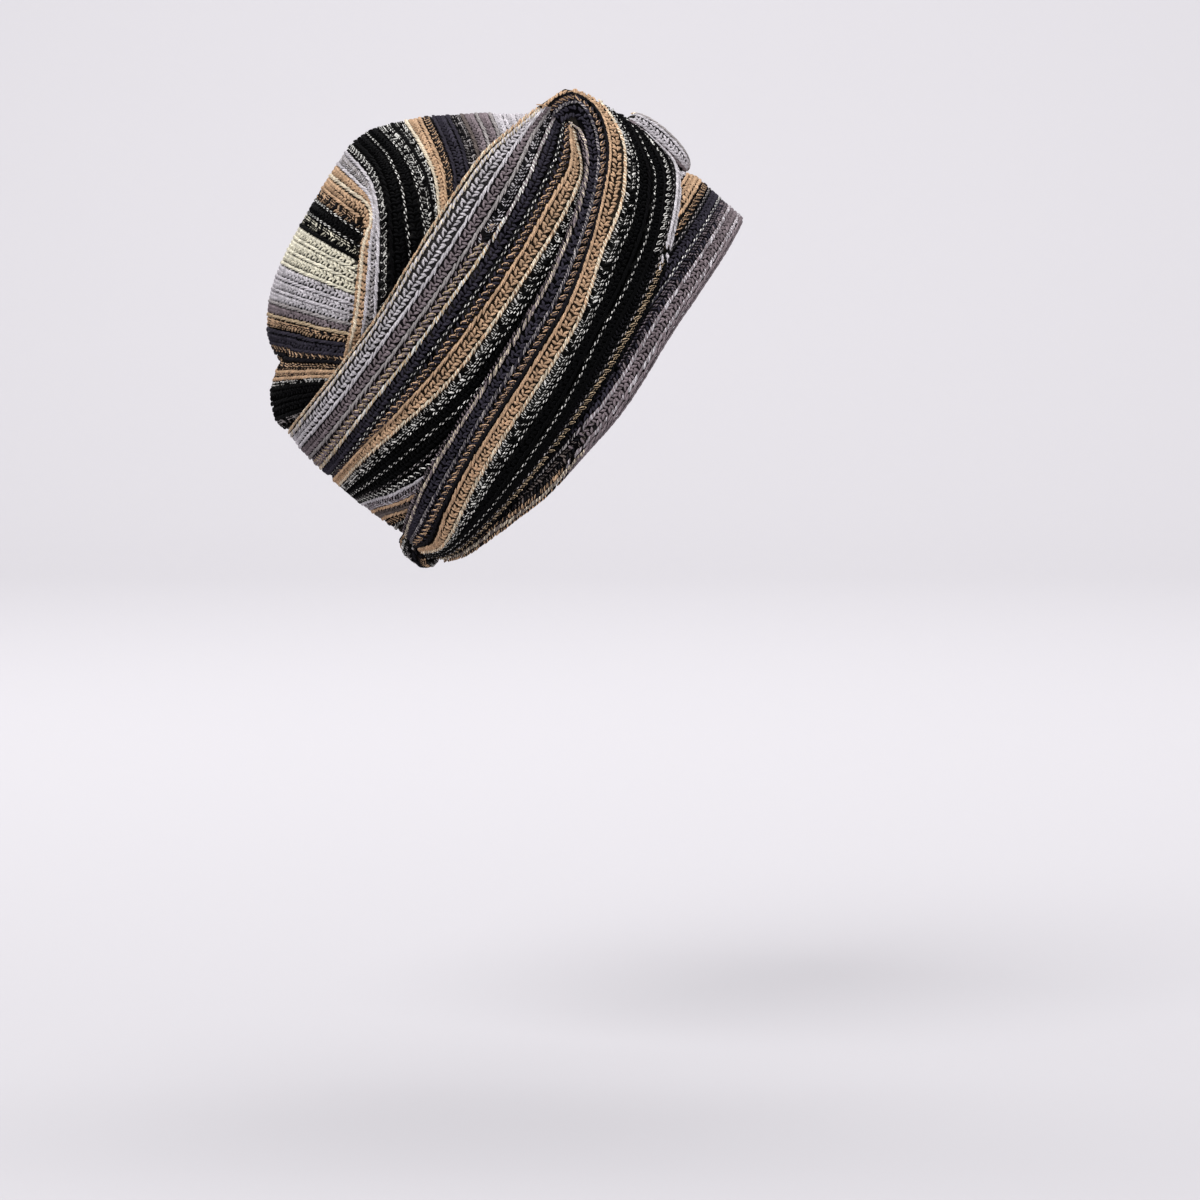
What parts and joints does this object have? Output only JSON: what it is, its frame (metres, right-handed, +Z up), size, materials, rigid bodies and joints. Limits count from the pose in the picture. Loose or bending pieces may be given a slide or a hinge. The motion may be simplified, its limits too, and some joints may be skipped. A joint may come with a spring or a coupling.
{
  "type": "turban headwrap",
  "caption": "Knitted turban headwrap in worn form: slouched crown, wound pleated band with side straps, gathered front knot and rolled nape, hollow for the head.",
  "frame": {"origin": "head_seat: centre of the head opening, where the band grips the head", "axes": "+Z up as worn, +X the way the wearer faces, +Y the wearer's left; the plane of the opening is turned up 48.5 degrees at the forehead"},
  "size_m": [0.2341, 0.1776, 0.2297],
  "materials": {
    "crown_knit": "matte striped knit, stripes running from side to side over the crown",
    "upper_wrap_knit": "matte striped knit, grey at the finished edge through mauve and tan to black",
    "side_wrap_knit": "matte striped knit, indigo and tan at the top through black",
    "brim_wrap_knit": "matte striped knit, tan through indigo to mauve at the edge",
    "front_knot_knit": "matte light grey knit, gathered",
    "nape_roll_knit": "matte dark heather knit"
  },
  "bodies": {
    "root": {"crown": "crown_knit", "upper_wrap": "upper_wrap_knit", "side_wrap_right": "side_wrap_knit", "side_wrap_left": "side_wrap_knit", "brim_wrap": "brim_wrap_knit", "front_knot": "front_knot_knit", "nape_roll": "nape_roll_knit"}
  },
  "joints": []
}
